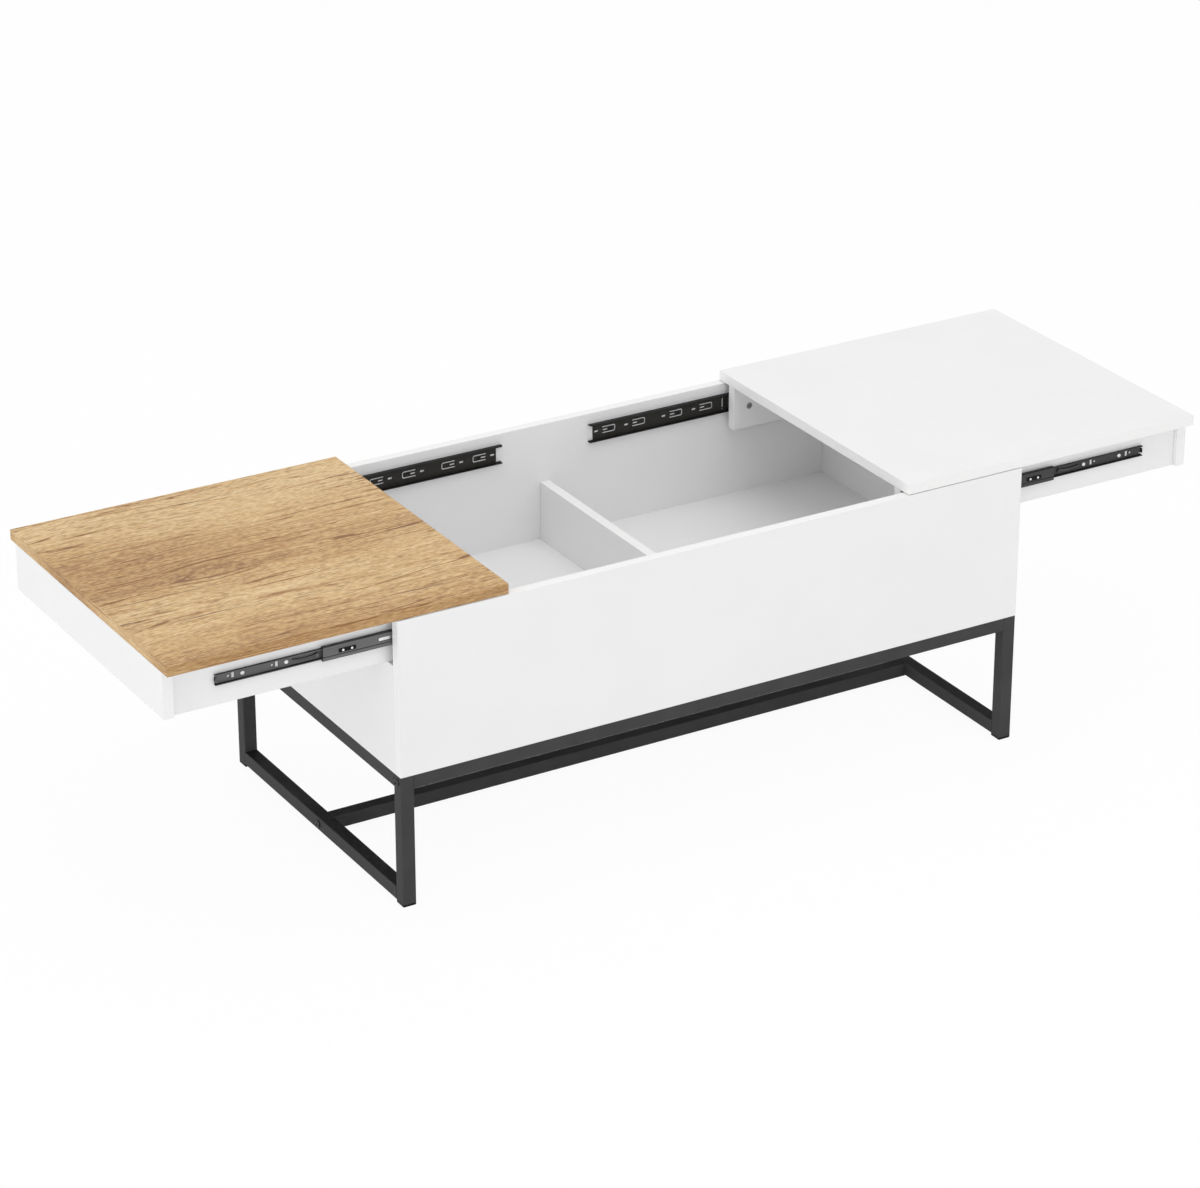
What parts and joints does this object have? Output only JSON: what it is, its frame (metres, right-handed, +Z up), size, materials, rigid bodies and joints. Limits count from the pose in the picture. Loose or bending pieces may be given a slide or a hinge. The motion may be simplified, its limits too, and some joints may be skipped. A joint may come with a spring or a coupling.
{
  "type": "sliding top coffee table",
  "caption": "Low rectangular table with a storage box on a square-tube frame; two half tops slide apart on ball slides to open the compartments.",
  "frame": {"origin": "on the floor, under the middle of the storage box", "axes": "+X along the length, towards the white half top; +Y to the back; +Z up"},
  "size_m": [1.6345, 0.5, 0.4418],
  "materials": {
    "white_board": "white melamine-faced board, satin, with banded edges",
    "oak_board": "oak-grain melamine-faced board, satin",
    "black_steel": "black powder coat, fine texture",
    "slide_steel": "black zinc-plated rolled steel",
    "bright_steel": "bright zinc plate",
    "black_bolt": "black oxide",
    "cam_zinc": "die-cast zinc",
    "black_plastic": "black moulded plastic"
  },
  "bodies": {
    "base": {"floor_stretcher": "black_steel", "front_long_rail": "black_steel", "back_long_rail": "black_steel", "box_fixing_screws": "bright_steel", "rail_nut_plugs": "bright_steel", "box_cam_bolts": "bright_steel", "outer_slide_screws": "black_bolt", "frame_bolts": "black_bolt", "foot_glides": "black_plastic", "box_cam_locks": "cam_zinc", "floor_panel": "white_board", "divider_panel": "white_board", "front_panel": "white_board", "back_panel": "white_board", "left_cross_rail": "black_steel", "left_floor_rail": "black_steel", "left_end_panel": "white_board", "left_front_leg": "black_steel", "left_front_outer_slide": "slide_steel", "left_back_leg": "black_steel", "left_back_outer_slide": "slide_steel", "right_cross_rail": "black_steel", "right_floor_rail": "black_steel", "right_end_panel": "white_board", "right_front_leg": "black_steel", "right_front_outer_slide": "slide_steel", "right_back_leg": "black_steel", "right_back_outer_slide": "slide_steel"},
    "left_top": {"left_top_board": "oak_board", "left_end_apron": "white_board", "left_top_cam_locks": "cam_zinc", "left_top_cam_bolts": "bright_steel", "left_inner_slide_screws": "bright_steel", "left_front_apron": "white_board", "left_front_inner_slide": "slide_steel", "left_back_apron": "white_board", "left_back_inner_slide": "slide_steel"},
    "left_middle": {"left_slide_bumpers": "black_plastic", "left_front_middle_slide": "slide_steel", "left_back_middle_slide": "slide_steel"},
    "left_outer_cages": {"left_outer_ball_cages": "bright_steel"},
    "left_inner_cages": {"left_inner_ball_cages": "bright_steel"},
    "left_front_lever": {"left_front_release_lever": "black_plastic"},
    "left_back_lever": {"left_back_release_lever": "black_plastic"},
    "right_top": {"right_top_board": "white_board", "right_end_apron": "white_board", "right_top_cam_locks": "cam_zinc", "right_top_cam_bolts": "bright_steel", "right_inner_slide_screws": "bright_steel", "right_front_apron": "white_board", "right_front_inner_slide": "slide_steel", "right_back_apron": "white_board", "right_back_inner_slide": "slide_steel"},
    "right_middle": {"right_slide_bumpers": "black_plastic", "right_front_middle_slide": "slide_steel", "right_back_middle_slide": "slide_steel"},
    "right_outer_cages": {"right_outer_ball_cages": "bright_steel"},
    "right_inner_cages": {"right_inner_ball_cages": "bright_steel"},
    "right_front_lever": {"right_front_release_lever": "black_plastic"},
    "right_back_lever": {"right_back_release_lever": "black_plastic"}
  },
  "joints": [
    {"name": "left_top_slide", "type": "slide", "parent": "base", "child": "left_top", "axis": [-1, 0, 0], "range_m": [-0.331, 0.019]},
    {"name": "left_middle_slide", "type": "slide", "parent": "base", "child": "left_middle", "axis": [-1, 0, 0], "range_m": [-0.1775, 0.01019]},
    {"name": "left_outer_cages_slide", "type": "slide", "parent": "base", "child": "left_outer_cages", "axis": [-1, 0, 0], "range_m": [-0.08875, 0.00509]},
    {"name": "left_inner_cages_slide", "type": "slide", "parent": "base", "child": "left_inner_cages", "axis": [-1, 0, 0], "range_m": [-0.25425, 0.0146]},
    {"name": "left_front_lever_press", "type": "hinge", "parent": "left_top", "child": "left_front_lever", "pos_m": [-0.607, -0.225, 0.396], "axis": [0, -1, 0], "range_deg": [0, 6], "stiffness_Nm_per_rad": 0.05},
    {"name": "left_back_lever_press", "type": "hinge", "parent": "left_top", "child": "left_back_lever", "pos_m": [-0.607, 0.225, 0.396], "axis": [0, -1, 0], "range_deg": [0, 6], "stiffness_Nm_per_rad": 0.05},
    {"name": "right_top_slide", "type": "slide", "parent": "base", "child": "right_top", "axis": [1, 0, 0], "range_m": [-0.3065, 0.0435]},
    {"name": "right_middle_slide", "type": "slide", "parent": "base", "child": "right_middle", "axis": [1, 0, 0], "range_m": [-0.147, 0.02086]},
    {"name": "right_outer_cages_slide", "type": "slide", "parent": "base", "child": "right_outer_cages", "axis": [1, 0, 0], "range_m": [-0.0735, 0.01043]},
    {"name": "right_inner_cages_slide", "type": "slide", "parent": "base", "child": "right_inner_cages", "axis": [1, 0, 0], "range_m": [-0.22675, 0.03218]},
    {"name": "right_front_lever_press", "type": "hinge", "parent": "right_top", "child": "right_front_lever", "pos_m": [0.5825, -0.225, 0.396], "axis": [0, 1, 0], "range_deg": [0, 6], "stiffness_Nm_per_rad": 0.05},
    {"name": "right_back_lever_press", "type": "hinge", "parent": "right_top", "child": "right_back_lever", "pos_m": [0.5825, 0.225, 0.396], "axis": [0, 1, 0], "range_deg": [0, 6], "stiffness_Nm_per_rad": 0.05}
  ],
  "couplings": [
    {"joint": "left_middle_slide", "follows": "left_top_slide", "ratio": 0.53625},
    {"joint": "left_outer_cages_slide", "follows": "left_top_slide", "ratio": 0.26813},
    {"joint": "left_inner_cages_slide", "follows": "left_top_slide", "ratio": 0.76813},
    {"joint": "right_middle_slide", "follows": "right_top_slide", "ratio": 0.47961},
    {"joint": "right_outer_cages_slide", "follows": "right_top_slide", "ratio": 0.2398},
    {"joint": "right_inner_cages_slide", "follows": "right_top_slide", "ratio": 0.7398}
  ]
}
